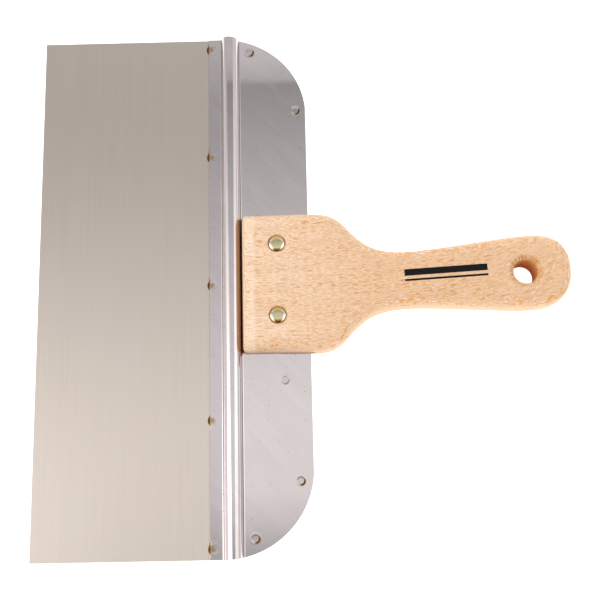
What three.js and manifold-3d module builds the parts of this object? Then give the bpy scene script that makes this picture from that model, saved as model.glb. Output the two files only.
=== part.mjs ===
// Drywall taping knife: a thin flexible steel blade, a stiffener with a pressed half-round bead
// spot-welded over its rear part, and a one-piece beech handle that grips both sheets in a saw
// kerf and is held by two two-part cutlery rivets.
// Millimetres. While it is modelled, x runs back from the working edge towards the butt of the
// handle, y runs along the working edge from its middle, and z is up from the handle's back face.
// The finished group is moved along x so that its origin is the middle of its footprint.

import * as THREE from "three";
import { mergeVertices } from "three/addons/utils/BufferGeometryUtils.js";
import Module from "manifold-3d";

const wasm = await Module();
wasm.setup();

// ---- driving dimensions ----

// The two steel sheets
const bladeWidth = 300; // along the working edge
const bladeDepth = 152.5; // working edge to the rear edge of both sheets
const bladeThickness = 0.4;
const stiffenerThickness = 0.8;
const stiffenerFront = 96.4; // front edge of the stiffener's narrow flange
const weldGap = 0.05; // the welded sheets lie this far apart
const cornerRadius = 48.5; // rear corners of both sheets
const cornerCentre = 104.2; // the corner arcs are centred on this line
const beadCentre = 109.1; // middle line of the pressed bead
const beadRadius = 5.2; // outside, half-round above the sheet

// The handle
const handleThickness = 20;
const handleFront = 115.3; // square-cut end of the wood, just behind the bead
const edgeRadius = 6.5; // rounding along both faces of the wood
const neckStart = 190; // from here back the grip leans over
const gripLean = THREE.MathUtils.degToRad(2.3);
// Half width of the wood at stations along x, from the head round to the butt
const halfWidths = [
  [100, 39],
  [128, 39],
  [156, 39.2],
  [164, 38],
  [170.5, 34.2],
  [177.5, 26.7],
  [186, 19.9],
  [196, 16.4],
  [208, 15.6],
  [226, 16.6],
  [246, 18.5],
  [263, 20.1],
  [276, 20.6],
  [285.5, 19.4],
  [292.5, 15.7],
  [296.8, 9.1],
  [298.2, 0],
];

// The kerf for the sheets
const kerfHeight = 1.9;
const kerfEnd = 154.7; // a little deeper than the sheets reach

// The hanging hole
const hangingHole = { x: 272.2, y: 2.3, radius: 6.75, lip: 3.5, lipDepth: 2 };

// The rivets, one at each side of the middle
const rivetX = 134.7;
const rivetMiddle = 0.8; // the pair sits this far off the middle line
const rivetSpacing = 40.8;
const headRadius = 4.5;
const headRim = 0.5; // height of the head's straight edge
const headDome = 0.6; // rise of the dome above that edge
const headInset = 0.2; // top of the dome below the face of the wood
const socketRadius = 2.5; // outside of the tubular half
const socketBore = 1.8;
const pinRadius = 1.7;
const boreClearance = 0.3; // around the tubular half, in wood and steel
const counterboreRadius = 5.1;
const seatGap = 0.05; // between a rivet head and the floor of its counterbore
const rivetSides = 36;

// ---- sizes worked out from them ----

const middle = handleThickness / 2;
const stackThickness = bladeThickness + weldGap + stiffenerThickness;
const bladeBottom = middle - stackThickness / 2;
const stiffenerBottom = bladeBottom + bladeThickness + weldGap;
const stiffenerTop = stiffenerBottom + stiffenerThickness;
const counterboreDepth = headInset + headDome + headRim + seatGap;
const rivets = [1, -1].map((side) => ({
  x: rivetX,
  y: rivetMiddle + (side * rivetSpacing) / 2,
}));

// ---- joining and cutting ----

// A closed geometry as a solid
function solidOf(geometry) {
  const bare = geometry.index ? geometry.toNonIndexed() : geometry.clone();
  bare.deleteAttribute("normal");
  bare.deleteAttribute("uv");
  const merged = mergeVertices(bare, 1e-4);
  return new wasm.Manifold(
    new wasm.Mesh({
      numProp: 3,
      vertProperties: merged.attributes.position.array,
      triVerts: new Uint32Array(merged.index.array),
    }),
  );
}

// A solid as a geometry
function geometryOf(solid) {
  const mesh = solid.getMesh();
  const geometry = new THREE.BufferGeometry();
  geometry.setAttribute("position", new THREE.BufferAttribute(mesh.vertProperties, 3));
  geometry.setIndex(new THREE.BufferAttribute(mesh.triVerts, 1));
  const flat = geometry.toNonIndexed();
  flat.computeVertexNormals();
  return flat;
}

// An outline in x and y raised from one height to another
function prism(shape, bottom, top, curveSegments = 16) {
  const geometry = new THREE.ExtrudeGeometry(shape, {
    depth: top - bottom,
    bevelEnabled: false,
    curveSegments,
  });
  return geometry.translate(0, 0, bottom);
}

// A box from its two corners
function block(low, high) {
  const size = high.map((value, axis) => value - low[axis]);
  const centre = high.map((value, axis) => (value + low[axis]) / 2);
  return new THREE.BoxGeometry(...size).translate(...centre);
}

// A profile of radius and height turned about a vertical line at x and y
function turned(profile, x, y, sides) {
  const points = profile.map(([radius, height]) => new THREE.Vector2(radius, height));
  return new THREE.LatheGeometry(points, sides).rotateX(Math.PI / 2).translate(x, y, 0);
}

// A plain round cutter
function drill(x, y, radius, bottom, top) {
  const profile = [
    [0, bottom],
    [radius, bottom],
    [radius, top],
    [0, top],
  ];
  return solidOf(turned(profile, x, y, rivetSides));
}

// The holes that the tubular halves pass through
function drillForRivets(solid) {
  const radius = socketRadius + boreClearance;
  return rivets.reduce(
    (left, { x, y }) => left.subtract(drill(x, y, radius, -1, handleThickness + 1)),
    solid,
  );
}

// ---- the sheets ----

// Outline of a sheet from its front edge back to the rear edge with its two rounded corners
function sheetOutline(front) {
  const half = bladeWidth / 2;
  const centreY = half - cornerRadius;
  // The arc runs from the end of the sheet to where it meets the rear edge
  const meeting = Math.acos((bladeDepth - cornerCentre) / cornerRadius);
  const shape = new THREE.Shape();
  shape.moveTo(front, half);
  shape.lineTo(front, -half);
  shape.lineTo(cornerCentre, -half);
  shape.absarc(cornerCentre, -centreY, cornerRadius, -Math.PI / 2, -meeting, false);
  shape.lineTo(bladeDepth, centreY + cornerRadius * Math.sin(meeting));
  shape.absarc(cornerCentre, centreY, cornerRadius, meeting, Math.PI / 2, false);
  shape.closePath();
  return shape;
}

function bladeGeometry() {
  const sheet = prism(sheetOutline(0), bladeBottom, bladeBottom + bladeThickness);
  return geometryOf(drillForRivets(solidOf(sheet)));
}

// Cross-section of the stiffener in x and z: flange, half-round bead and plate in one sheet
function stiffenerSection() {
  const inner = beadRadius - stiffenerThickness;
  const shape = new THREE.Shape();
  shape.moveTo(stiffenerFront, stiffenerBottom);
  shape.lineTo(beadCentre - inner, stiffenerBottom);
  shape.lineTo(beadCentre - inner, stiffenerTop);
  shape.absarc(beadCentre, stiffenerTop, inner, Math.PI, 0, true);
  shape.lineTo(beadCentre + inner, stiffenerBottom);
  shape.lineTo(bladeDepth, stiffenerBottom);
  shape.lineTo(bladeDepth, stiffenerTop);
  shape.lineTo(beadCentre + beadRadius, stiffenerTop);
  shape.absarc(beadCentre, stiffenerTop, beadRadius, 0, Math.PI, false);
  shape.lineTo(stiffenerFront, stiffenerTop);
  shape.closePath();
  return shape;
}

function stiffenerGeometry() {
  const long = bladeWidth + 20;
  const bar = prism(stiffenerSection(), -long / 2, long / 2, 12).rotateX(Math.PI / 2);
  const trim = prism(sheetOutline(0), 0, handleThickness);
  return geometryOf(drillForRivets(solidOf(bar).intersect(solidOf(trim))));
}

// ---- the handle ----

// How far the grip's middle line has moved sideways at a station
function drift(x) {
  return Math.max(0, x - neckStart) * Math.tan(gripLean);
}

// Outline of the wood, longer at the front than the finished handle
function handleOutline() {
  const upper = halfWidths.map(([x, half]) => new THREE.Vector3(x, drift(x) + half, 0));
  const lower = halfWidths
    .slice(0, -1)
    .reverse()
    .map(([x, half]) => new THREE.Vector3(x, drift(x) - half, 0));
  const curve = new THREE.CatmullRomCurve3([...upper, ...lower], false, "centripetal");
  const steps = 3 * (upper.length + lower.length - 1);
  const points = curve.getPoints(steps).map(({ x, y }) => new THREE.Vector2(x, y));
  return new THREE.Shape(points.reverse());
}

// The board with its long edges rounded over on both faces
function roundedBoard() {
  const geometry = new THREE.ExtrudeGeometry(handleOutline(), {
    depth: handleThickness - 2 * edgeRadius,
    bevelEnabled: true,
    bevelThickness: edgeRadius,
    bevelSize: edgeRadius,
    bevelOffset: -edgeRadius,
    bevelSegments: 5,
  });
  return geometry.translate(0, 0, edgeRadius);
}

// Cutter for the hanging hole: a bore that opens through a rounded lip at each face
function hangingHoleCutter() {
  const { x, y, radius, lip, lipDepth } = hangingHole;
  const steps = 5;
  const over = 1;
  const flare = Array.from({ length: steps + 1 }, (_, i) => {
    const angle = (i / steps) * (Math.PI / 2);
    return [radius + lip * (1 - Math.sin(angle)), lipDepth * (1 - Math.cos(angle))];
  });
  const upperFlare = flare.map(([r, z]) => [r, handleThickness - z]).reverse();
  const profile = [
    [0, -over],
    [radius + lip, -over],
    ...flare,
    ...upperFlare,
    [radius + lip, handleThickness + over],
    [0, handleThickness + over],
  ];
  return solidOf(turned(profile, x, y, 40));
}

function handleGeometry() {
  const half = bladeWidth / 2;
  const ahead = block([0, -half, -1], [handleFront, half, handleThickness + 1]);
  const kerf = block(
    [0, -half, middle - kerfHeight / 2],
    [kerfEnd, half, middle + kerfHeight / 2],
  );
  let wood = solidOf(roundedBoard())
    .subtract(solidOf(ahead))
    .subtract(solidOf(kerf))
    .subtract(hangingHoleCutter());
  for (const { x, y } of rivets) {
    const back = drill(x, y, counterboreRadius, -1, counterboreDepth);
    const face = drill(
      x,
      y,
      counterboreRadius,
      handleThickness - counterboreDepth,
      handleThickness + 1,
    );
    wood = wood.subtract(back).subtract(face);
  }
  return geometryOf(drillForRivets(wood));
}

// ---- the rivets ----

// Profile of a head from its rim over the dome to the axis, its seat at the given height.
// The same points serve both halves: facing is 1 for the upper head and -1 for the lower one.
function headProfile(seat, facing) {
  const steps = 6;
  const dome = Array.from({ length: steps + 1 }, (_, i) => {
    const part = 1 - i / steps;
    const rise = headRim + headDome * (1 - part * part);
    return [headRadius * part, seat + facing * rise];
  });
  return [[headRadius, seat], ...dome];
}

// Upper half: a domed head on a tube
function rivetSocketGeometry({ x, y }) {
  const seat = handleThickness - counterboreDepth + seatGap;
  const tubeEnd = counterboreDepth + 1;
  const profile = [
    [0, seat - 1],
    [socketBore, seat - 1],
    [socketBore, tubeEnd],
    [socketRadius, tubeEnd],
    [socketRadius, seat],
    ...headProfile(seat, 1),
  ];
  return turned(profile, x, y, rivetSides);
}

// Lower half: the same head on a solid pin that is driven into the tube
function rivetPinGeometry({ x, y }) {
  const seat = counterboreDepth - seatGap;
  const pinEnd = handleThickness - counterboreDepth - 2;
  const profile = [
    [0, pinEnd],
    [pinRadius, pinEnd],
    [pinRadius, seat],
    ...headProfile(seat, -1),
  ];
  return turned(profile.reverse(), x, y, rivetSides);
}

// ---- materials ----

const bladeSteel = new THREE.MeshStandardMaterial({
  color: 0xc4bcb4,
  roughness: 0.42,
  metalness: 1,
});
const polishedSteel = new THREE.MeshStandardMaterial({
  color: 0xc9c6c6,
  roughness: 0.22,
  metalness: 1,
});
const beech = new THREE.MeshStandardMaterial({
  color: 0xebc7a0,
  roughness: 0.6,
  metalness: 0,
});
const brassPlate = new THREE.MeshStandardMaterial({
  color: 0xd2be6a,
  roughness: 0.2,
  metalness: 1,
});

// ---- the assembly ----

const knife = new THREE.Group();

function addPiece(name, geometry, material) {
  const piece = new THREE.Mesh(geometry, material);
  piece.name = name;
  knife.add(piece);
}

addPiece("blade", bladeGeometry(), bladeSteel);
addPiece("stiffener", stiffenerGeometry(), polishedSteel);
addPiece("handle", handleGeometry(), beech);
rivets.forEach((place, i) => {
  addPiece(`rivet_${i + 1}_socket`, rivetSocketGeometry(place), brassPlate);
  addPiece(`rivet_${i + 1}_pin`, rivetPinGeometry(place), brassPlate);
});

const footprint = new THREE.Box3().setFromObject(knife);
knife.position.x = -(footprint.min.x + footprint.max.x) / 2;

export default knife;
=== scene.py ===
"""Looks of the drywall taping knife: a brushed steel blade, a polished stiffener with a pressed
bead and spot welds, a riveted beech handle, and a plain pale studio round it."""

import math

import bmesh
import bpy
from mathutils import Euler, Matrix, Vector
from mathutils.geometry import delaunay_2d_cdt


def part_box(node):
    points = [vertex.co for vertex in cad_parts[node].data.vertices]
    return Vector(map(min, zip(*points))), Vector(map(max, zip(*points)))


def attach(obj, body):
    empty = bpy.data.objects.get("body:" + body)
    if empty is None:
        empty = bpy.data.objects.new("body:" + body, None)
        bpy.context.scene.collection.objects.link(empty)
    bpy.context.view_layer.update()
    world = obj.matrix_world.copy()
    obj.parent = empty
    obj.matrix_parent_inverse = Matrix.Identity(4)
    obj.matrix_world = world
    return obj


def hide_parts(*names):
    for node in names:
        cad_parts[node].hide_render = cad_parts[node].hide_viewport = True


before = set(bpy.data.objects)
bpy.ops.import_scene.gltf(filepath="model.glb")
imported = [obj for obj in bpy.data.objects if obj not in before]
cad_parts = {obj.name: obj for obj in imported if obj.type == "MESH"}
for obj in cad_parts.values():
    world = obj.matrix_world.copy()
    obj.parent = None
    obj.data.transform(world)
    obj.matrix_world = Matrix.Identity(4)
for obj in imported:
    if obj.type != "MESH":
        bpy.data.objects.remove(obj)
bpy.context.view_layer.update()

MM = 0.001

# ---- sizes, in millimetres, with x measured from the working edge as in the CAD model ----

blade_low, blade_high = [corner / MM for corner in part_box("blade")]
stiffener_low, stiffener_high = [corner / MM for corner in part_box("stiffener")]
handle_low, handle_high = [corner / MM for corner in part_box("handle")]

EDGE_X = blade_low.x  # the working edge in the row frame

# The two sheets
HALF_WIDTH = blade_high.y
SHEET_DEPTH = blade_high.x - EDGE_X
CORNER_RADIUS = 48.5
CORNER_CENTRE = 104.2
BLADE_THICKNESS = blade_high.z - blade_low.z
STIFFENER_THICKNESS = 0.8
STIFFENER_FRONT = stiffener_low.x - EDGE_X
BEAD_CENTRE = 109.1
BEAD_RADIUS = 5.2
BEAD_FOOT = 0.9  # small radius on the outside where the bead turns into the flat sheet
SHEET_EASE = 0.12  # broken edge all round a sheet

# How finely the sheets are meshed
EDGE_STEP = 6  # along the straight front edge
FLASH_STEP = 0.6  # along the front edge where welds swell it
LATTICE_ROW = 4.5  # between the lattice's rows, along x
LATTICE_STEP = 5  # between the points in a row, along y
WELD_RING_GAP = 0.25
WELD_RINGS = 16
WELD_RING_SIDES = 28
BORE_SIDES = 32

# Spot welds, x and y of each electrode mark
EDGE_WELDS = [(98.9, 143.7), (98.9, 76.2), (98.9, 0.1), (98.9, -75.9), (98.9, -144.4)]
FAINT_WELD = (137.8, -54.4)
PLATE_WELDS = [(120.6, 141.5), (146.7, 104.1), FAINT_WELD, (145.4, -109.2), (120.6, -139.2)]
ALL_WELDS = EDGE_WELDS + PLATE_WELDS
WELD_RADIUS = 2.5
FLASH_RADIUS = 3.7  # reach of the metal squeezed out at the front edge of the stiffener

# The handle
THICKNESS = handle_high.z - handle_low.z
HANDLE_FRONT = handle_low.x - EDGE_X
EDGE_RADIUS = 6.5
NECK_START = 190
GRIP_LEAN = math.radians(2.3)
HALF_WIDTHS = [
    (100, 39),
    (128, 39),
    (156, 39.2),
    (164, 38),
    (170.5, 34.2),
    (177.5, 26.7),
    (186, 19.9),
    (196, 16.4),
    (208, 15.6),
    (226, 16.6),
    (246, 18.5),
    (263, 20.1),
    (276, 20.6),
    (285.5, 19.4),
    (292.5, 15.7),
    (296.8, 9.1),
    (298.2, 0),
]
KERF_HEIGHT = 1.9
KERF_END = 154.7
HOLE_X = 272.2
HOLE_Y = 2.3
HOLE_RADIUS = 6.75
HOLE_LIP = 3.5
HOLE_LIP_DEPTH = 2

# The rivets
RIVET_NAMES = ["rivet_1", "rivet_2"]
COUNTERBORE_RADIUS = 5.1
COUNTERBORE_DEPTH = 1.35
SEAT_GAP = 0.05
HEAD_RIM = 0.5
HEAD_DOME = 0.6
SOCKET_RADIUS = 2.5
SOCKET_BORE = 1.8
PIN_RADIUS = 1.7
BORE_RADIUS = 2.8

# The stripes printed on the grip
STRIPE_X = 228
STRIPE_Y = 3.0
STRIPE_LEAN = math.radians(3)
STRIPE_HALF_LENGTH = 23.0
STRIPES = [(0.9, 1.9), (-3.4, 0.6)]  # middle and half height of each


# ---- meshes ----

def shown(name, mesh, materials, slot, *nodes, sharp=35):
    """A piece of the knife: smooth but for edges over the sharp angle, riding on the one body."""
    for polygon in mesh.polygons:
        polygon.use_smooth = True
    mesh.set_sharp_from_angle(angle=math.radians(sharp))
    for material in materials:
        mesh.materials.append(material)
    piece = bpy.data.objects.new(name, mesh)
    bpy.context.scene.collection.objects.link(piece)
    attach(piece, "root")
    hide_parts(*nodes)
    return piece


def mesh_of(name, points, faces):
    """A mesh from points in millimetres from the working edge, with its faces turned outward."""
    placed = [((x + EDGE_X) * MM, y * MM, z * MM) for x, y, z in points]
    mesh = bpy.data.meshes.new(name)
    mesh.from_pydata(placed, [], faces)
    work = bmesh.new()
    work.from_mesh(mesh)
    bmesh.ops.recalc_face_normals(work, faces=work.faces)
    work.to_mesh(mesh)
    work.free()
    return mesh


def turned(name, profile, x, y, sides):
    """A closed mesh from a profile of radius and height, on the axis at both ends."""
    points = [(x, y, profile[0][1])]
    rings = profile[1:-1]
    for radius, z in rings:
        for i in range(sides):
            turn = 2 * math.pi * i / sides
            points.append((x + radius * math.cos(turn), y + radius * math.sin(turn), z))
    points.append((x, y, profile[-1][1]))
    last = len(points) - 1
    faces = []
    for i in range(sides):
        j = (i + 1) % sides
        faces.append((0, 1 + i, 1 + j))
        for level in range(len(rings) - 1):
            a = 1 + level * sides
            b = a + sides
            faces.append((a + i, a + j, b + j, b + i))
        end = 1 + (len(rings) - 1) * sides
        faces.append((end + i, end + j, last))
    return mesh_of(name, points, faces)


# ---- the sheets ----

def smooth(low, high, value):
    """0 below low, 1 above high, and an even curve between."""
    t = min(1, max(0, (value - low) / (high - low)))
    return t * t * (3 - 2 * t)


def sheet_end(x):
    """Half width of a sheet at x: full in front, then round the rear corner."""
    if x <= CORNER_CENTRE:
        return HALF_WIDTH
    across = min(x - CORNER_CENTRE, CORNER_RADIUS)
    return HALF_WIDTH - CORNER_RADIUS + math.sqrt(CORNER_RADIUS**2 - across**2)


class FlatSection:
    """Middle surface of the blade: u is x."""

    def __init__(self, z):
        self.z = z

    def u_at(self, x):
        return x

    def at(self, u):
        return u, self.z, 0, 1

    def folds(self):
        return []


class BeadSection:
    """Middle surface of the stiffener: flange, foot, half-round bead, foot, plate.
    u is the length along the sheet, equal to x up to the bead."""

    steps = 32
    foot_steps = 4

    def __init__(self, bottom):
        half = STIFFENER_THICKNESS / 2
        self.z = bottom + half
        self.radius = BEAD_RADIUS - half
        self.foot = BEAD_FOOT + half
        reach = self.radius + self.foot
        self.centre_z = self.z + half  # the bead is centred on the top of the sheet
        rise = self.foot - half
        self.foot_x = math.sqrt(reach**2 - rise**2)  # foot centres each side of the bead centre
        self.tilt = math.asin(rise / reach)
        self.foot_turn = math.pi / 2 + self.tilt
        self.start = BEAD_CENTRE - self.foot_x
        self.bead_turn = math.pi - 2 * self.tilt
        self.lengths = [
            self.foot * self.foot_turn,
            self.radius * self.bead_turn,
            self.foot * self.foot_turn,
        ]
        self.extra = sum(self.lengths) - 2 * self.foot_x

    def u_at(self, x):
        """Only for x in front of the bead or behind it."""
        return x if x <= self.start else x + self.extra

    def at(self, u):
        """x, z and the upward normal's x and z."""
        past = u - self.start
        if past <= 0:
            return u, self.z, 0, 1
        first, bead, second = self.lengths
        if past < first:
            turn = past / self.foot
            x = self.start + self.foot * math.sin(turn)
            return x, self.z + self.foot * (1 - math.cos(turn)), -math.sin(turn), math.cos(turn)
        past -= first
        if past < bead:
            turn = math.pi - self.tilt - past / self.radius
            nx = math.cos(turn)
            nz = math.sin(turn)
            return BEAD_CENTRE + self.radius * nx, self.centre_z + self.radius * nz, nx, nz
        past -= bead
        if past < second:
            turn = (second - past) / self.foot
            x = BEAD_CENTRE + self.foot_x - self.foot * math.sin(turn)
            return x, self.z + self.foot * (1 - math.cos(turn)), math.sin(turn), math.cos(turn)
        return u - self.extra, self.z, 0, 1

    def folds(self):
        """The u of every line that the curved part is divided along."""
        first, bead, second = self.lengths
        marks = [self.start + first * i / self.foot_steps for i in range(self.foot_steps)]
        here = self.start + first
        marks += [here + bead * i / self.steps for i in range(self.steps)]
        here += bead
        marks += [here + second * i / self.foot_steps for i in range(self.foot_steps + 1)]
        return marks


def spread(start, end, step):
    """Evenly spaced values from start to end, about a step apart."""
    count = max(1, round(abs(end - start) / step))
    return [start + (end - start) * i / count for i in range(count + 1)]


def front_line(front, bulges):
    """The front edge from +y to -y, swelling round each weld's flash where there are bulges."""
    line = []
    for y in spread(HALF_WIDTH, -HALF_WIDTH, FLASH_STEP if bulges else EDGE_STEP):
        x = front
        for weld_x, weld_y in bulges:
            across = FLASH_RADIUS**2 - (y - weld_y) ** 2
            if across > 0:
                x = min(x, weld_x - math.sqrt(across))
        whole_step = abs(y / EDGE_STEP - round(y / EDGE_STEP)) < 0.05
        if x < front or not bulges or whole_step or abs(y) == HALF_WIDTH:
            line.append((x, y))
    return line


def rear_line(section):
    """From the front end of the -y side round the rear to the front end of the +y side."""
    first = section.folds()[0] if section.folds() else CORNER_CENTRE
    last = section.folds()[-1] if section.folds() else CORNER_CENTRE
    side = [(u, sheet_end(section.at(u)[0])) for u in section.folds()]
    behind = section.at(last)[0]
    start = math.asin(max(0, behind - CORNER_CENTRE) / CORNER_RADIUS)
    end = math.asin((SHEET_DEPTH - CORNER_CENTRE) / CORNER_RADIUS)
    arc = []
    for turn in spread(start, end, math.radians(2.5))[1:]:
        x = CORNER_CENTRE + CORNER_RADIUS * math.sin(turn)
        arc.append((section.u_at(x), HALF_WIDTH - CORNER_RADIUS * (1 - math.cos(turn))))
    lower = [(u, -y) for u, y in side + arc]
    rear_u, rear_y = arc[-1]
    rear = [(rear_u, y) for y in spread(-rear_y, rear_y, 8)][1:-1]
    upper = [(u, y) for u, y in reversed(side + arc)]
    return lower + rear + upper, first


def inset(loop, distance):
    """The closed loop moved inward by a distance, corner by corner. The loop runs anticlockwise."""
    moved = []
    for i, point in enumerate(loop):
        here = Vector(point)
        before = (here - Vector(loop[i - 1])).normalized()
        after = (Vector(loop[(i + 1) % len(loop)]) - here).normalized()
        inward = Vector((-before.y, before.x)) + Vector((-after.y, after.x))
        moved.append(here + inward * (distance * 2 / inward.length_squared))
    return moved


def ring(x, y, radius, sides):
    """Points on a circle."""
    turns = [2 * math.pi * i / sides for i in range(sides)]
    return [(x + radius * math.cos(a), y + radius * math.sin(a)) for a in turns]


def steel_sheet(name, section, front, thickness, bulges, lift):
    """One sheet with its rivet holes, meshed finely round the welds, its front edge swollen round
    the bulges. lift(x, y, side) moves the top face (side 1) or the bottom face (side -1)."""
    back, first_fold = rear_line(section)
    outline = front_line(front, bulges)
    side_points = spread(front, first_fold, 8)[1:-1]
    outline += [(x, -HALF_WIDTH) for x in side_points] + back
    outline += [(x, HALF_WIDTH) for x in reversed(side_points)]
    inner = inset(outline, SHEET_EASE)
    bores = [ring(section.u_at(x), y, BORE_RADIUS, BORE_SIDES) for x, y in RIVETS]

    points = [Vector(p) for p in inner]
    edges = [(i, (i + 1) % len(inner)) for i in range(len(inner))]
    for bore in bores:
        start = len(points)
        points += [Vector(p) for p in bore]
        edges += [(start + i, start + (i + 1) % len(bore)) for i in range(len(bore))]

    # Lines along the bead, in the direction of y, from one side of the outline to the other
    folds = section.folds()
    where = {}
    for i, (u, y) in enumerate(outline):
        where[(round(u, 6), y > 0)] = i
    for u in folds:
        low = where[(round(u, 6), False)]
        high = where[(round(u, 6), True)]
        previous = low
        for y in spread(inner[low].y, inner[high].y, 5)[1:-1]:
            points.append(Vector((u, y)))
            edges.append((previous, len(points) - 1))
            previous = len(points) - 1
        edges.append((previous, high))

    # Loose points: rings at the welds, and a staggered lattice over the flat parts
    def clear(u, y, margin):
        x = section.at(u)[0]
        if folds and folds[0] - margin < u < folds[-1] + margin:
            return False
        if x > SHEET_DEPTH - margin or abs(y) > sheet_end(x + margin) - margin:
            return False
        return x > front + margin or any(
            math.dist((x, y), weld) < FLASH_RADIUS - margin for weld in bulges
        )

    def apart(x, y):
        """Whether a lattice point is well away from the welds and the rivet holes."""
        off_welds = all(math.dist((x, y), weld) > FLASH_RADIUS + 2 for weld in ALL_WELDS)
        return off_welds and all(math.dist((x, y), rivet) >= BORE_RADIUS + 2 for rivet in RIVETS)

    for x, y in ALL_WELDS:
        u = section.u_at(x)
        points += [Vector((u, y))]
        for i in range(1, WELD_RINGS + 1):
            circle = ring(u, y, WELD_RING_GAP * i, WELD_RING_SIDES)
            points += [Vector(p) for p in circle if clear(*p, 0.2)]
    for i, x in enumerate(spread(front, SHEET_DEPTH, LATTICE_ROW)):
        for y in spread(-HALF_WIDTH, HALF_WIDTH, LATTICE_STEP):
            y += LATTICE_STEP / 2 * (i % 2)
            u = section.u_at(x)
            if clear(u, y, 2) and apart(x, y):
                points.append(Vector((u, y)))

    flat, _, triangles, origins, _, _ = delaunay_2d_cdt(points, edges, [], 1, 1e-6)
    found = {source: i for i, sources in enumerate(origins) for source in sources}

    def in_bore(triangle):
        u = sum(flat[i].x for i in triangle) / 3
        y = sum(flat[i].y for i in triangle) / 3
        x = section.at(u)[0]
        return any(math.dist((x, y), rivet) < BORE_RADIUS * 0.98 for rivet in RIVETS)

    triangles = [t for t in triangles if not in_bore(t)]

    def vertex(u, y, height):
        """A point at a height above the middle surface."""
        x, z, nx, nz = section.at(u)
        side = 1 if height > 0 else -1
        return x + nx * height, y, z + nz * height + (lift(x, y, side) if nz == 1 else 0)

    half = thickness / 2
    vertices = [vertex(p.x, p.y, half) for p in flat]
    vertices += [vertex(p.x, p.y, -half) for p in flat]
    below = len(flat)
    faces = [tuple(t) for t in triangles]
    faces += [tuple(below + i for i in reversed(t)) for t in triangles]
    broad_faces = len(faces)  # the top and bottom; the rest are edges and holes
    outer = len(vertices)
    around = len(outline)
    vertices += [vertex(u, y, half - SHEET_EASE) for u, y in outline]
    vertices += [vertex(u, y, SHEET_EASE - half) for u, y in outline]
    for i in range(around):
        j = (i + 1) % around
        a, b = found[i], found[j]
        faces.append((a, outer + i, outer + j, b))
        faces.append((outer + i, outer + around + i, outer + around + j, outer + j))
        faces.append((outer + around + i, below + a, below + b, outer + around + j))
    start = around
    for bore in bores:
        for i in range(len(bore)):
            a = found[start + i]
            b = found[start + (i + 1) % len(bore)]
            faces.append((a, b, below + b, below + a))
        start += len(bore)
    mesh = mesh_of(name, vertices, faces)
    for polygon in mesh.polygons:
        polygon.material_index = 0 if polygon.index < broad_faces else 1
    return mesh


def add_attribute(mesh, name, value_at):
    """A number at every vertex, worked out from its x and y in millimetres from the working edge."""
    attribute = mesh.attributes.new(name, "FLOAT", "POINT")
    for i, vertex in enumerate(mesh.vertices):
        attribute.data[i].value = value_at(vertex.co.x / MM - EDGE_X, vertex.co.y / MM)


def add_plan_uv(mesh):
    """UV along x and y: the brushed finish takes its direction from it."""
    layer = mesh.uv_layers.new(name="plan")
    for loop in mesh.loops:
        place = mesh.vertices[loop.vertex_index].co
        layer.data[loop.index].uv = (place.x, place.y)


# Where the rivets stand, x and y
RIVETS = []
for rivet_name in RIVET_NAMES:
    low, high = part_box(rivet_name + "_socket")
    RIVETS.append((round((low.x + high.x) / 2 / MM - EDGE_X, 3), round((low.y + high.y) / 2 / MM, 3)))


def burn(x, y):
    """Heat tint: strong on the flash in front of the stiffener, a crescent at each plate weld."""
    most = 0
    for weld in EDGE_WELDS:
        away = math.dist((x, y), weld)
        near_edge = smooth(STIFFENER_FRONT + 0.7, STIFFENER_FRONT - 0.3, x)
        smudge = math.dist((x, y), (STIFFENER_FRONT + 1.4, weld[1]))
        most = max(most, near_edge * smooth(4.1, 3.4, away), 0.34 * smooth(3.0, 0.4, smudge))
    for weld in PLATE_WELDS:
        away = math.dist((x, y), weld)
        outward = ((x - weld[0]) * 0.8 - (y - weld[1]) * 0.6) / max(away, 0.01)
        crescent = smooth(1.4, 2.0, away) * smooth(2.9, 2.4, away) * smooth(0.1, 0.9, outward)
        strength = 0.35 if weld == FAINT_WELD else 0.85
        most = max(most, strength * crescent, 0.16 * smooth(3.0, 1.8, away))
    return most


def back_burn(x, y):
    """Faint heat tint where the electrodes pressed on the back of the blade."""
    nearest = min(math.dist((x, y), weld) for weld in ALL_WELDS)
    ring_tint = smooth(1.3, 2.2, nearest) * smooth(3.2, 2.5, nearest)
    return max(0.22 * ring_tint, 0.1 * smooth(3.0, 2.0, nearest))


def electrode_mark(away, depth):
    """Height of the surface at a distance from a weld: a shallow pit with a low rim."""
    pit = depth * smooth(WELD_RADIUS, WELD_RADIUS - 1.0, away)
    rise = smooth(WELD_RADIUS - 0.5, WELD_RADIUS, away)
    fall = smooth(WELD_RADIUS + 0.8, WELD_RADIUS, away)
    return 0.25 * depth * rise * fall - pit


def stiffener_lift(x, y, side):
    """The plate's slight waves, the electrode marks and the squeezed-out edge at the front."""
    wave = 0.008 * math.sin(x / 7.5 + 1.1 * math.sin(y / 31)) + 0.007 * math.sin(y / 13 + x / 19)
    z = wave * smooth(BEAD_CENTRE + 6, BEAD_CENTRE + 14, x)
    if side < 0:
        return z
    for weld in ALL_WELDS:
        away = math.dist((x, y), weld)
        if away > 5:
            continue
        depth = 0.015 if weld in EDGE_WELDS else 0.06
        z += electrode_mark(away, depth)
        if weld in EDGE_WELDS:
            z -= 0.6 * smooth(STIFFENER_FRONT + 0.1, STIFFENER_FRONT - 1.0, x)
    return z


def blade_lift(x, y, side):
    """Electrode marks on the back of the blade only."""
    if side > 0:
        return 0
    nearest = min(math.dist((x, y), weld) for weld in ALL_WELDS)
    return -electrode_mark(nearest, 0.045)


# ---- the handle ----

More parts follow.
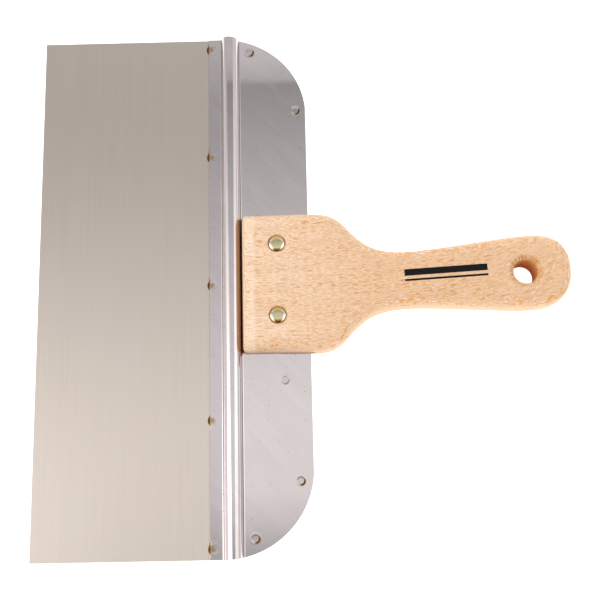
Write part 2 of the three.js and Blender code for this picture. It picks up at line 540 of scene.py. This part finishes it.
def centripetal(points, steps):
    """Centripetal Catmull-Rom curve through the points, with steps to each span."""
    ahead = [points[0] * 2 - points[1]] + points + [points[-1] * 2 - points[-2]]
    curve = []
    for p0, p1, p2, p3 in zip(ahead, ahead[1:], ahead[2:], ahead[3:]):
        t1 = math.sqrt((p1 - p0).length)
        t2 = t1 + math.sqrt((p2 - p1).length)
        t3 = t2 + math.sqrt((p3 - p2).length)
        for i in range(steps):
            t = t1 + (t2 - t1) * i / steps
            a1 = p0 * ((t1 - t) / t1) + p1 * (t / t1)
            a2 = p1 * ((t2 - t) / (t2 - t1)) + p2 * ((t - t1) / (t2 - t1))
            a3 = p2 * ((t3 - t) / (t3 - t2)) + p3 * ((t - t2) / (t3 - t2))
            b1 = a1 * ((t2 - t) / t2) + a2 * (t / t2)
            b2 = a2 * ((t3 - t) / (t3 - t1)) + a3 * ((t - t1) / (t3 - t1))
            curve.append(b1 * ((t2 - t) / (t2 - t1)) + b2 * ((t - t1) / (t2 - t1)))
    return curve + [points[-1]]


def handle_outline(start):
    """Outline of the wood from +y at x = start, round the butt, to -y at the same x."""
    def side(sign):
        drifted = [(x, max(0, x - NECK_START) * math.tan(GRIP_LEAN), half) for x, half in HALF_WIDTHS]
        return [Vector((x, drift + sign * half)) for x, drift, half in drifted]

    curve = centripetal(side(1) + side(-1)[-2::-1], 7)
    body = [p for p in curve if p.x > start + 2]
    upper = [p for p in curve if p.y > 0 and p.x <= start + 2][-1]
    lower = [p for p in curve if p.y < 0 and p.x <= start + 2][0]
    first = upper.lerp(body[0], (start - upper.x) / (body[0].x - upper.x))
    last = lower.lerp(body[-1], (start - lower.x) / (body[-1].x - lower.x))
    return [first] + body + [last]


def handle_body():
    """The wood before it is sawn and drilled. Columns of points run up its side from the back
    face to the front face, at places along the outline and, ahead of them, over the front end."""
    # How far the front end's edges are rounded, along x and inward: up its sides, then at its faces
    side_ease = (2.0, 2.0)
    face_ease = (6.5, 3.8)
    ease_steps = 6
    layers = 12
    turns = [math.pi / 2 * i / layers for i in range(layers + 1)]
    section = [(EDGE_RADIUS * (1 - math.cos(t)), EDGE_RADIUS * (1 - math.sin(t)), t) for t in turns]
    # inward, height, and how much the surface there faces sideways
    ring_points = [(inward, z, math.cos(t), -math.sin(t)) for inward, z, t in reversed(section)]
    ring_points += [(inward, THICKNESS - z, math.cos(t), math.sin(t)) for inward, z, t in section]

    start = HANDLE_FRONT + face_ease[0]
    outline = handle_outline(start)
    columns = []

    def ease_column(base, sign, part):
        turn = math.pi / 2 * part
        column = []
        for inward, z, sideways, upward in ring_points:
            share = upward**2
            along = side_ease[0] + (face_ease[0] - side_ease[0]) * share
            depth = side_ease[1] + (face_ease[1] - side_ease[1]) * share
            sink = depth * (1 - math.cos(turn))
            x = HANDLE_FRONT + along * (1 - math.sin(turn))
            y = base - sign * (inward + sink * sideways)
            column.append((x, y, z - sink * upward))
        return column

    parts = [i / ease_steps for i in range(ease_steps, -1, -1)]
    columns += [ease_column(outline[0].y, 1, part) for part in parts]
    for i, here in enumerate(outline[1:-1], start=1):
        along = (outline[i + 1] - outline[i - 1]).normalized()
        inward_way = Vector((along.y, -along.x))
        column = []
        # The grip is rounded further in than the head
        softer = 1 + 0.35 * smooth(NECK_START, NECK_START + 45, here.x)
        for inward, z, _, _ in ring_points:
            place = here + inward_way * inward * softer
            column.append((place.x, place.y, z))
        columns.append(column)
    columns += [ease_column(outline[-1].y, -1, part) for part in reversed(parts)]

    tall = len(ring_points)
    points = [point for column in columns for point in column]

    def at(column, layer):
        return (column % len(columns)) * tall + layer

    faces = []
    for c in range(len(columns) - 1):
        for k in range(tall - 1):
            faces.append((at(c, k), at(c + 1, k), at(c + 1, k + 1), at(c, k + 1)))
    for c in range(ease_steps):
        for k in (0, tall - 1):
            faces.append((at(c, k), at(c + 1, k), at(-c - 2, k), at(-c - 1, k)))
    for k in (0, tall - 1):
        faces.append([at(c, k) for c in range(ease_steps, len(columns) - ease_steps)])
    faces.append([at(0, k) for k in range(tall)] + [at(-1, k) for k in reversed(range(tall))])
    return mesh_of("handle_wood", points, faces)


def box_mesh(name, low, high):
    """A box between two corners, to cut with."""
    xs, ys, zs = zip(low, high)
    points = [(x, y, z) for x in xs for y in ys for z in zs]
    faces = [(0, 1, 3, 2), (4, 6, 7, 5), (0, 4, 5, 1), (2, 3, 7, 6), (0, 2, 6, 4), (1, 5, 7, 3)]
    return mesh_of(name, points, faces)


def hole_cutter():
    """The hanging hole, straight in the middle and flared at both faces."""
    steps = 10
    over = 0.4  # how far the cutter stands out of the wood
    flare = []
    for i in range(steps + 1):
        part = i / steps
        flare.append((HOLE_RADIUS + HOLE_LIP * (1 - part), HOLE_LIP_DEPTH * part**1.7 - 0.01))
    upper = [(radius, THICKNESS - z) for radius, z in reversed(flare)]
    wide = HOLE_RADIUS + HOLE_LIP
    top = THICKNESS + over
    profile = [(0, -over), (wide, -over)] + flare + upper + [(wide, top), (0, top)]
    return turned("hole_cutter", profile, HOLE_X, HOLE_Y, 72)


def rivet_cutter(x, y):
    """Counterbore at each face, with its rim just broken, and the bore between."""
    deep = COUNTERBORE_DEPTH
    wide = COUNTERBORE_RADIUS
    ease = 0.18
    lower = [(0, -1), (wide + 1 + ease, -1), (wide, ease), (wide, deep), (BORE_RADIUS, deep)]
    upper = [(radius, THICKNESS - z) for radius, z in reversed(lower)]
    return turned("rivet_cutter", lower + upper, x, y, 64)


def cut(mesh, cutter):
    """The mesh with the cutter taken away."""
    body = bpy.data.objects.new("cut_body", mesh)
    tool = bpy.data.objects.new("cut_tool", cutter)
    bpy.context.scene.collection.objects.link(body)
    bpy.context.scene.collection.objects.link(tool)
    boolean = body.modifiers.new("cut", "BOOLEAN")
    boolean.object = tool
    boolean.operation = "DIFFERENCE"
    boolean.solver = "EXACT"
    bpy.context.view_layer.update()
    evaluated = body.evaluated_get(bpy.context.evaluated_depsgraph_get())
    result = bpy.data.meshes.new_from_object(evaluated)
    bpy.data.objects.remove(body)
    bpy.data.objects.remove(tool)
    bpy.data.meshes.remove(cutter)
    return result


def handle_mesh():
    """The finished wood: sawn for the sheets, and drilled for the rivets and for hanging."""
    mesh = handle_body()
    middle = THICKNESS / 2
    low = (HANDLE_FRONT - 5, -60, middle - KERF_HEIGHT / 2)
    high = (KERF_END, 60, middle + KERF_HEIGHT / 2)
    mesh = cut(mesh, box_mesh("kerf_cutter", low, high))
    mesh = cut(mesh, hole_cutter())
    for x, y in RIVETS:
        mesh = cut(mesh, rivet_cutter(x, y))
    return mesh


# ---- the rivets ----

def head(radius, seat, facing):
    """A rivet head from its rim to the axis: nearly flat in the middle, then a curved shoulder."""
    steps = 14
    ease = 0.08
    points = [(radius, seat), (radius, seat + facing * (HEAD_RIM - ease))]
    for i in range(steps + 1):
        part = (1 - i / steps) * (1 - ease / radius)
        rise = HEAD_RIM + HEAD_DOME * (1 - part**4 * 0.9 - part**2 * 0.1)
        points.append((radius * part, seat + facing * rise))
    return points


def rivet_socket(name, x, y, radius):
    """The upper half of a rivet: a head and the tube below it."""
    seat = THICKNESS - COUNTERBORE_DEPTH + SEAT_GAP
    end = COUNTERBORE_DEPTH + 1
    tube = [(0, seat - 1), (SOCKET_BORE, seat - 1), (SOCKET_BORE, end), (SOCKET_RADIUS, end)]
    return turned(name, tube + [(SOCKET_RADIUS, seat)] + head(radius, seat, 1), x, y, 64)


def rivet_pin(name, x, y, radius):
    """The lower half of a rivet: a head and the pin that fills the tube."""
    seat = COUNTERBORE_DEPTH - SEAT_GAP
    end = THICKNESS - COUNTERBORE_DEPTH - 2
    pin = [(0, end), (PIN_RADIUS, end), (PIN_RADIUS, seat)]
    return turned(name, pin + head(radius, seat, -1), x, y, 64)


# ---- material helpers ----

class Nodes:
    """Short ways to add nodes to a tree."""

    def __init__(self, tree):
        self.tree = tree

    def node(self, kind, inputs=None, **settings):
        made = self.tree.nodes.new("ShaderNode" + kind)
        for key, value in settings.items():
            setattr(made, key, value)
        for key, value in (inputs or {}).items():
            self.give(made.inputs[key], value)
        return made

    def give(self, socket, value):
        if isinstance(value, bpy.types.NodeSocket):
            self.tree.links.new(value, socket)
        else:
            socket.default_value = value

    def math(self, operation, *values):
        made = self.node("Math", operation=operation)
        for socket, value in zip(made.inputs, values):
            self.give(socket, value)
        return made.outputs[0]

    def ramp(self, value, low, high, to_low, to_high, curve="LINEAR"):
        names = {"Value": value, "From Min": low, "From Max": high, "To Min": to_low, "To Max": to_high}
        return self.node("MapRange", names, interpolation_type=curve).outputs[0]

    def between(self, value, low, high, to_low=0.0, to_high=1.0):
        """value from low..high to to_low..to_high, on a smooth curve and held at the ends."""
        return self.ramp(value, low, high, to_low, to_high, "SMOOTHSTEP")

    def mix(self, share, first, second, blend="MIX"):
        made = self.node("Mix", data_type="RGBA", blend_type=blend, clamp_factor=True)
        self.give(made.inputs[0], share)
        self.give(made.inputs[6], first)
        self.give(made.inputs[7], second)
        return made.outputs[2]

    def millimetres(self, scale=(1, 1, 1)):
        """The place in the row frame, in millimetres, stretched by a scale."""
        place = self.node("TexCoord").outputs["Object"]
        scaled = tuple(s / MM for s in scale)
        return self.node("VectorMath", {0: place, 1: scaled}, operation="MULTIPLY").outputs[0]

    def noise(self, vector, scale=1.0, detail=2.0, rough=0.5, distortion=0.0):
        names = {"Vector": vector, "Scale": scale, "Detail": detail, "Roughness": rough}
        return self.node("TexNoise", {**names, "Distortion": distortion}).outputs["Fac"]

    def cells(self, vector, scale=1.0, dimensions="3D"):
        """Distance to the nearest scattered point, and a random number for that point."""
        made = self.node("TexVoronoi", {"Vector": vector, "Scale": scale}, voronoi_dimensions=dimensions)
        split = self.node("SeparateColor", {"Color": made.outputs["Color"]})
        return made.outputs["Distance"], split.outputs[0]

    def bump(self, height, distance, strength):
        names = {"Height": height, "Distance": distance, "Strength": strength}
        return self.node("Bump", names).outputs[0]


class Shader(Nodes):
    """A material, with nodes that end in its one surface shader."""

    def __init__(self, name):
        self.material = bpy.data.materials.new(name)
        self.material.use_nodes = True
        super().__init__(self.material.node_tree)
        self.surface = self.tree.nodes["Principled BSDF"]

    def set(self, **inputs):
        """Each named input of the surface, with _ for a space."""
        for key, value in inputs.items():
            self.give(self.surface.inputs[key.replace("_", " ")], value)


# ---- materials ----

def blade_steel():
    """Satin steel ground along the working edge: fine scratches run along y."""
    s = Shader("blade_steel")
    streaks = s.noise(s.millimetres((5.0, 0.012, 1)), detail=4, rough=0.65)
    fine = s.noise(s.millimetres((14.0, 0.06, 1)), detail=2)
    cloud = s.noise(s.millimetres((0.02, 0.02, 0.02)), detail=3)
    tone = s.mix(s.between(streaks, 0.3, 0.7), (0.594, 0.520, 0.463, 1), (0.637, 0.563, 0.502, 1))
    tone = s.mix(s.between(cloud, 0.35, 0.65, 0, 0.25), tone, (0.607, 0.546, 0.498, 1))
    scorched = s.node("Attribute", attribute_name="burn").outputs["Fac"]
    tone = s.mix(scorched, tone, (0.09, 0.035, 0.008, 1))
    rough = s.between(streaks, 0.25, 0.75, 0.28, 0.34)
    s.set(Base_Color=tone, Metallic=1.0, Roughness=rough, Anisotropic=0.75)
    tangent = s.node("Tangent", direction_type="UV_MAP", uv_map="plan").outputs[0]
    s.set(Tangent=tangent, Normal=s.bump(fine, 0.00002, 0.35))
    return s.material


def polished_steel():
    """Bright rolled sheet with swirl marks, small dark specks and heat tint at the welds."""
    s = Shader("polished_steel")
    place = s.millimetres()
    x, y = s.node("SeparateXYZ", {0: place}).outputs[:2]
    down = s.math("MULTIPLY", s.math("SUBTRACT", x, y), 0.02)
    up = s.math("MULTIPLY", s.math("ADD", x, y), 0.11)
    slanted = s.node("CombineXYZ", {0: down, 1: up}).outputs[0]
    swirl = s.noise(slanted, detail=3, rough=0.55, distortion=0.6)
    film = s.noise(s.millimetres((0.03, 0.03, 0.03)), detail=2)
    tone = s.mix(s.between(swirl, 0.35, 0.7), (0.603, 0.546, 0.550, 1), (0.637, 0.583, 0.585, 1))
    tone = s.mix(s.between(film, 0.35, 0.65, 0, 0.5), tone, (0.611, 0.560, 0.555, 1))
    # The pressed bead and the flange are a little duller than the plate
    plate_start = BEAD_CENTRE + BEAD_RADIUS + EDGE_X
    on_plate = s.between(x, plate_start, plate_start + 1.0)
    tone = s.mix(on_plate, tone, (1.12, 1.12, 1.12, 1), "MULTIPLY")
    # Specks
    away, chance = s.cells(place, 0.2, "2D")
    size = s.between(chance, 0.5, 1.0, 0.0, 0.06)
    speck = s.math("LESS_THAN", away, size)
    tone = s.mix(s.math("MULTIPLY", speck, 0.5), tone, (0.16, 0.14, 0.13, 1))
    # Painted shade in the creases at the feet of the bead
    for foot in (BEAD_CENTRE - BEAD_RADIUS, BEAD_CENTRE + BEAD_RADIUS):
        away = s.math("ABSOLUTE", s.math("SUBTRACT", x, foot + EDGE_X))
        tone = s.mix(s.between(away, 0.42, 0.12, 0.0, 0.85), tone, (0.22, 0.17, 0.14, 1))
    # Heat tint, straw-coloured and then nearly black
    scorched = s.node("Attribute", attribute_name="burn").outputs["Fac"]
    ragged = s.math("MULTIPLY", scorched, s.between(s.noise(place, 1.6, 3), 0.2, 0.6, 0.7, 1.2))
    straw = s.mix(s.between(ragged, 0.05, 0.5), tone, (0.42, 0.24, 0.09, 1))
    tone = s.mix(s.between(ragged, 0.45, 0.9), straw, (0.075, 0.03, 0.008, 1))
    mottle = s.noise(s.millimetres((0.5, 0.5, 1)), detail=3)
    rough = s.between(swirl, 0.3, 0.7, 0.02, 0.04)
    rough = s.math("ADD", rough, s.math("MULTIPLY", scorched, 0.25))
    flange_end = BEAD_CENTRE - BEAD_RADIUS + EDGE_X
    rough = s.math("ADD", rough, s.between(x, flange_end, flange_end - 0.5, 0.0, 0.10))
    # Painted shade in the gap between the bead and the wood
    gap = s.math("ABSOLUTE", s.math("SUBTRACT", x, plate_start + 0.8))
    beside = s.between(s.math("ABSOLUTE", y), 39.5, 38.0)
    gap_painted_shade = s.math("MULTIPLY", s.between(gap, 0.6, 0.2), beside)
    tone = s.mix(s.math("MULTIPLY", gap_painted_shade, 0.9), tone, (0.02, 0.012, 0.008, 1))
    s.set(Base_Color=tone, Metallic=1.0, Roughness=rough, Normal=s.bump(mottle, 0.000003, 0.1))
    return s.material


def sheared_edge():
    """The sheets' cut edges, duller and a little stained."""
    s = Shader("sheared_edge")
    grain = s.noise(s.millimetres((3, 3, 6)), detail=3)
    tone = s.mix(s.between(grain, 0.3, 0.7), (0.30, 0.24, 0.19, 1), (0.46, 0.40, 0.34, 1))
    s.set(Base_Color=tone, Metallic=1.0, Roughness=s.between(grain, 0.3, 0.7, 0.4, 0.55))
    return s.material


def brass_plate():
    """Bright brass plating with a faint haze, and a painted reflection round the shoulder of each head.
    """
    s = Shader("brass_plate")
    place = s.millimetres()
    haze = s.noise(s.millimetres((0.45, 0.45, 0.45)), detail=4, distortion=0.8)
    tone = s.mix(s.between(haze, 0.35, 0.65), (0.68, 0.55, 0.27, 1), (0.62, 0.60, 0.44, 1))
    nearest = 100.0
    level = 100.0
    for x, y in RIVETS:
        away = s.node("VectorMath", {0: place, 1: (x + EDGE_X, y, 0)}, operation="SUBTRACT").outputs[0]
        flat = s.node("VectorMath", {0: away, 1: (1, 1, 0)}, operation="MULTIPLY").outputs[0]
        length = s.node("VectorMath", {0: flat}, operation="LENGTH").outputs["Value"]
        nearest = s.math("MINIMUM", nearest, length)
        offset = s.math("ABSOLUTE", s.node("SeparateXYZ", {0: flat}).outputs[1])
        level = s.math("MINIMUM", level, offset)
    # Painted reflection on each head: gold on the shoulder, paler at its left and right, and a darker
    # brown-gold outer rim
    shoulder = s.between(nearest, 2.5, 3.2)
    tone = s.mix(shoulder, tone, (0.72, 0.45, 0.11, 1))
    tone = s.mix(s.math("MULTIPLY", shoulder, s.between(level, 3.4, 2.2)), tone, (0.84, 0.79, 0.64, 1))
    tone = s.mix(s.between(nearest, 4.0, 4.3), tone, (0.42, 0.20, 0.04, 1))
    s.set(Base_Color=tone, Metallic=1.0, Roughness=s.between(haze, 0.3, 0.7, 0.07, 0.15))
    return s.material


def beech():
    """Sanded beech: pale pinkish ground, short darker ray marks along the grain, and growth
    layers nearly level with the faces, which show as contour lines where the edges are rounded."""
    s = Shader("beech")
    place = s.millimetres()
    x, y, z = s.node("SeparateXYZ", {0: place}).outputs
    # The grain falls a little across the head, then rises along the grip
    past = s.math("ADD", x, 34.0)
    rise = s.math("MULTIPLY_ADD", past, 0.0012, -0.05)
    wander = s.noise(s.millimetres((0.02, 0.05, 0.05)), detail=2)
    across = s.math("SUBTRACT", y, s.math("MULTIPLY", past, rise))
    across = s.math("ADD", across, s.math("MULTIPLY", wander, 3.5))
    grain = s.node("CombineXYZ", {0: x, 1: across, 2: z}).outputs[0]

    def along_grain(scale):
        return s.node("VectorMath", {0: grain, 1: scale}, operation="MULTIPLY").outputs[0]

    bands = s.noise(along_grain((0.012, 0.10, 0.10)), detail=3, rough=0.55)
    fibre = s.noise(along_grain((0.40, 2.6, 2.0)), detail=3, rough=0.6)
    pale = s.mix(s.between(x, -40.0, 60.0), (0.93, 0.705, 0.53, 1), (0.79, 0.51, 0.32, 1))
    tone = s.mix(s.between(bands, 0.3, 0.7, 0.0, 0.6), pale, (0.80, 0.52, 0.31, 1))
    tone = s.mix(s.between(fibre, 0.48, 0.66, 0, 0.65), tone, (0.74, 0.41, 0.19, 1))
    tone = s.mix(s.between(fibre, 0.47, 0.35, 0, 0.65), tone, (0.95, 0.78, 0.60, 1))

    # Painted shade: the edges, where the surface turns away from the faces, are painted a little darker
    normal = s.node("NewGeometry").outputs["Normal"]
    level = s.math("ABSOLUTE", s.node("SeparateXYZ", {0: normal}).outputs[2])
    rounded = s.between(level, 0.985, 0.85)
    tone = s.mix(s.math("MULTIPLY", rounded, 0.15), tone, (0.50, 0.30, 0.16, 1))
    # The rounding above the front end is paler
    front = HANDLE_FRONT + EDGE_X
    tone = s.mix(s.between(x, front + 8.0, front + 5.0, 0.0, 0.6), tone, (0.95, 0.75, 0.59, 1))

    # Growth layers, 1 mm apart
    roll = s.noise(s.millimetres((0.14, 0.14, 0.2)), detail=1)
    height = s.math("MULTIPLY_ADD", roll, 6.0, s.math("MULTIPLY_ADD", y, 0.13, z))
    layer = s.math("SINE", s.math("MULTIPLY", height, 2 * math.pi))
    strength = s.math("MULTIPLY_ADD", rounded, 0.6, 0.05)
    early = s.math("MULTIPLY", s.between(layer, 0.0, 1.0), strength)
    late = s.math("MULTIPLY", s.between(layer, 0.0, -1.0), strength)
    tone = s.mix(early, tone, (0.90, 0.72, 0.55, 1))
    tone = s.mix(late, tone, (0.70, 0.38, 0.18, 1))

    # Ray marks: dashes along the grain on the faces, larger spots where the edges are rounded
    def marks(scale, largest, wobble):
        shift = s.math("MULTIPLY", s.noise(along_grain((0.25, 0.5, 0.3))), wobble)
        spot = s.node("VectorMath", {0: along_grain(scale), 1: shift}, operation="ADD").outputs[0]
        away, chance = s.cells(spot)
        size = s.between(chance, 0.0, 0.9, 0.18, largest)
        return s.between(s.math("SUBTRACT", size, away), 0.0, 0.14)

    patchy = s.between(s.noise(along_grain((0.02, 0.12, 0.12)), detail=2), 0.3, 0.6, 0.6, 1.0)
    long_marks = s.math("MULTIPLY", marks((0.15, 1.75, 0.40), 0.44, 1.0), 0.85)
    short_marks = s.math("MULTIPLY", marks((0.26, 2.6, 0.7), 0.42, 0.8), 0.7)
    rays = s.math("MULTIPLY", s.math("MAXIMUM", long_marks, short_marks), patchy)
    rays = s.math("MULTIPLY", rays, s.math("MULTIPLY_ADD", rounded, -0.55, 1.0))
    tone = s.mix(rays, tone, (0.64, 0.28, 0.08, 1))
    along_edges = s.math("MULTIPLY", rounded, s.between(x, front + 7.0, front + 9.0))
    spots = s.math("MULTIPLY", marks((0.26, 0.24, 0.42), 0.46, 1.4), along_edges)
    spots = s.math("MULTIPLY", spots, s.between(level, 0.05, 0.4, 0.2, 0.7))
    tone = s.mix(spots, tone, (0.74, 0.32, 0.08, 1))

    # The hanging hole: torn fibres on its lip, and a wall painted darker from the top face down towards
    # the back face, as painted shade in the bore
    right = s.math("SUBTRACT", x, HOLE_X + EDGE_X)
    up = s.math("SUBTRACT", y, HOLE_Y)
    spoke = s.node("CombineXYZ", {0: right, 1: up}).outputs[0]
    reach = s.node("VectorMath", {0: spoke}, operation="LENGTH").outputs["Value"]
    way = s.node("VectorMath", {0: spoke}, operation="NORMALIZE").outputs[0]
    torn = s.noise(way, scale=10.0, detail=3)
    lip = s.between(reach, HOLE_RADIUS + HOLE_LIP, HOLE_RADIUS + 1.5)
    upper = s.between(up, -6.0, 6.0, 0.35, 0.9)
    lip = s.math("MULTIPLY", lip, s.math("MULTIPLY", upper, s.between(torn, 0.35, 0.6)))
    tone = s.mix(lip, tone, (0.56, 0.26, 0.09, 1))
    # Painted shade in the bore: orange-brown near the top face, nearly black towards the back face
    deep = s.mix(s.between(z, THICKNESS - 2.0, 3.0), (0.72, 0.33, 0.10, 1), (0.36, 0.075, 0.004, 1))
    wall = s.between(reach, HOLE_RADIUS + 0.15, HOLE_RADIUS + 0.02)
    tone = s.mix(wall, tone, deep)
    # The sawn front end is end grain: darker wood, painted darker still as painted shade
    tone = s.mix(s.between(x, front + 0.7, front + 0.05, 0.0, 0.7), tone, (0.70, 0.34, 0.12, 1))
    # The walls of the saw kerf, painted nearly black as painted shade in the cut
    from_middle = s.math("ABSOLUTE", s.math("SUBTRACT", z, THICKNESS / 2))
    kerf_painted_shade = s.math("LESS_THAN", from_middle, KERF_HEIGHT / 2 + 0.02)
    kerf_painted_shade = s.math("MULTIPLY", kerf_painted_shade, s.math("LESS_THAN", x, KERF_END + EDGE_X + 0.02))
    tone = s.mix(kerf_painted_shade, tone, (0.16, 0.06, 0.02, 1))

    rough = s.math("MULTIPLY_ADD", wall, 0.35, s.between(fibre, 0.3, 0.7, 0.46, 0.58))
    relief = s.math("SUBTRACT", fibre, s.math("MULTIPLY", rays, 0.8))
    tone, rough = printed(s, x, y, z, tone, rough)
    s.set(Base_Color=tone, Roughness=rough, Normal=s.bump(relief, 0.00006, 0.35))
    s.surface.inputs["Specular IOR Level"].default_value = 0.2
    return s.material


def printed(s, x, y, z, tone, rough):
    """Tone and roughness with two plain black stripes printed on the upper face of the grip."""
    cosine = math.cos(STRIPE_LEAN)
    sine = math.sin(STRIPE_LEAN)
    from_x = s.math("SUBTRACT", x, STRIPE_X + EDGE_X)
    from_y = s.math("SUBTRACT", y, STRIPE_Y)
    along = s.math("ADD", s.math("MULTIPLY", from_x, cosine), s.math("MULTIPLY", from_y, sine))
    across = s.math("SUBTRACT", s.math("MULTIPLY", from_y, cosine), s.math("MULTIPLY", from_x, sine))
    ink = 0.0
    for centre, half_height in STRIPES:
        up = s.math("SUBTRACT", s.math("ABSOLUTE", s.math("SUBTRACT", across, centre)), half_height)
        out = s.math("SUBTRACT", s.math("ABSOLUTE", along), STRIPE_HALF_LENGTH)
        ink = s.math("MAXIMUM", ink, s.between(s.math("MAXIMUM", up, out), 0.06, -0.06))
    ink = s.math("MULTIPLY", ink, s.math("GREATER_THAN", z, THICKNESS - 0.5))
    return s.mix(ink, tone, (0.001, 0.001, 0.001, 1)), s.math("MULTIPLY_ADD", ink, 0.05, rough)


FLOOR_GLOW = 0.9


def floor_white():
    """A light table: it glows evenly, so it stays white round the knife and through its hole."""
    s = Shader("floor_white")
    soft = s.noise(s.millimetres((0.01, 0.01, 0.01)), detail=2)
    tone = s.mix(s.between(soft, 0.3, 0.7), (0.80, 0.80, 0.80, 1), (0.82, 0.82, 0.82, 1))
    s.set(Base_Color=tone, Roughness=0.9, Emission_Color=(1, 1, 1, 1), Emission_Strength=FLOOR_GLOW)
    s.surface.inputs["Specular IOR Level"].default_value = 0.0
    return s.material


# ---- studio ----

# Brightness of the studio by the y of the direction looked in, for the strip overhead and for
# the soft boxes to the left and right of it
OVERHEAD = [
    (-1.0, 0.8), (-0.8, 0.8), (-0.6, 0.12), (-0.28, 0.04), (-0.12, 0.4), (0.0, 0.46),
    (0.034, 0.72), (0.06, 0.86), (0.14, 0.87), (0.2, 0.77), (0.257, 0.67), (0.336, 0.52),
    (0.386, 0.415), (0.416, 0.35), (0.4195, 0.52), (0.436, 0.63), (0.6, 0.62), (1.0, 1.6),
]
LEFT_BOX = [
    (-1.0, 0.8), (-0.8, 0.8), (-0.4, 1.4), (-0.2, 1.9), (0.0, 2.6), (0.114, 2.15),
    (0.168, 1.7), (0.231, 1.34), (0.284, 1.12), (0.336, 0.88), (0.386, 0.70), (0.44, 0.60),
    (0.6, 0.62), (1.0, 1.6),
]
RIGHT_BOX = [
    (-1.0, 0.8), (-0.8, 0.8), (-0.4, 1.1), (-0.2, 1.2), (0.0, 1.25), (0.114, 1.6),
    (0.168, 1.55), (0.231, 1.4), (0.284, 1.24), (0.336, 1.05), (0.386, 0.90), (0.434, 0.80),
    (0.6, 0.75), (1.0, 1.6),
]
WALLS = 0.8  # brightness past the soft boxes
STUDIO_STRENGTH = 1.15


def studio_light():
    """The studio as a background: the strip overhead, a soft box at each side and pale walls."""
    world = bpy.data.worlds.new("studio")
    bpy.context.scene.world = world
    world.use_nodes = True
    n = Nodes(world.node_tree)
    way = n.node("TexCoord").outputs["Generated"]
    x, y, z = n.node("SeparateXYZ", {0: way}).outputs
    turn = n.math("ARCTAN2", x, z)

    def strip(stops):
        """Brightness along y through the stops, as a sum of ramps."""
        total = stops[0][1]
        for (y0, v0), (y1, v1) in zip(stops, stops[1:]):
            total = n.math("ADD", total, n.ramp(y, y0, y1, 0.0, v1 - v0))
        return total

    def blend(share, first, second):
        return n.math("ADD", first, n.math("MULTIPLY", share, n.math("SUBTRACT", second, first)))

    def beyond(edge, slope, width):
        """1 past the edge of a soft box, whose edge slants with y. Degrees from overhead."""
        ahead = n.math("MAXIMUM", y, 0.0)
        middle = n.math("MULTIPLY_ADD", ahead, math.radians(slope), math.radians(edge))
        start = n.math("SUBTRACT", middle, math.radians(width / 2))
        end = n.math("ADD", middle, math.radians(width / 2))
        return n.between(turn, start, end)

    light = strip(OVERHEAD)
    light = blend(beyond(-20, -60, -12), light, strip(LEFT_BOX))
    light = blend(beyond(-72, 0, -12), light, WALLS)
    light = blend(beyond(17, 50, 12), light, strip(RIGHT_BOX))
    light = blend(beyond(56, 35, 12), light, WALLS)
    background = n.tree.nodes["Background"]
    n.give(background.inputs["Color"], n.node("CombineColor", {0: light, 1: light, 2: light}).outputs[0])
    background.inputs["Strength"].default_value = STUDIO_STRENGTH


def table():
    """The floor of the studio, just below the knife."""
    mesh = bpy.data.meshes.new("floor")
    half = 9.0
    z = -0.0005
    corners = [(-half, -half, z), (half, -half, z), (half, half, z), (-half, half, z)]
    mesh.from_pydata(corners, [], [(0, 1, 2, 3)])
    mesh.materials.append(floor_white())
    floor = bpy.data.objects.new("floor", mesh)
    bpy.context.scene.collection.objects.link(floor)


def camera():
    """Looks down on the face of the knife, from a little towards -y."""
    data = bpy.data.cameras.new("camera")
    data.sensor_width = 36
    data.lens = 65.4
    data.shift_x = 0.0333
    data.clip_start = 0.01
    data.clip_end = 20
    viewer = bpy.data.objects.new("camera", data)
    viewer.location = (-0.0060, -0.1496, 0.6033)
    viewer.rotation_euler = Euler([math.radians(turn) for turn in (13.32, 0.94, -1.03)])
    bpy.context.scene.collection.objects.link(viewer)
    bpy.context.scene.camera = viewer


# ---- the knife ----

def build_knife():
    """Every piece, each in place of its node."""
    edge = sheared_edge()
    blade = steel_sheet(
        "blade_sheet",
        FlatSection((blade_low.z + blade_high.z) / 2),
        0,
        BLADE_THICKNESS,
        [],
        blade_lift,
    )
    add_plan_uv(blade)
    add_attribute(blade, "burn", back_burn)
    shown("blade_sheet", blade, [blade_steel(), edge], "blade_steel", "blade")

    stiffener = steel_sheet(
        "stiffener_sheet",
        BeadSection(stiffener_low.z),
        STIFFENER_FRONT,
        STIFFENER_THICKNESS,
        EDGE_WELDS,
        stiffener_lift,
    )
    add_plan_uv(stiffener)
    add_attribute(stiffener, "burn", burn)
    shown("stiffener_sheet", stiffener, [polished_steel(), edge], "polished_steel", "stiffener")

    shown("handle_wood", handle_mesh(), [beech()], "beech", "handle", sharp=32)

    brass = brass_plate()
    for rivet_name, (x, y) in zip(RIVET_NAMES, RIVETS):
        low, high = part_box(rivet_name + "_socket")
        radius = (high.x - low.x) / 2 / MM
        for half, maker in (("socket", rivet_socket), ("pin", rivet_pin)):
            name = f"{rivet_name}_{half}_plated"
            shown(name, maker(name, x, y, radius), [brass], "brass_plate", f"{rivet_name}_{half}")


bpy.context.scene.view_settings.view_transform = "Standard"
camera()
studio_light()
table()
build_knife()
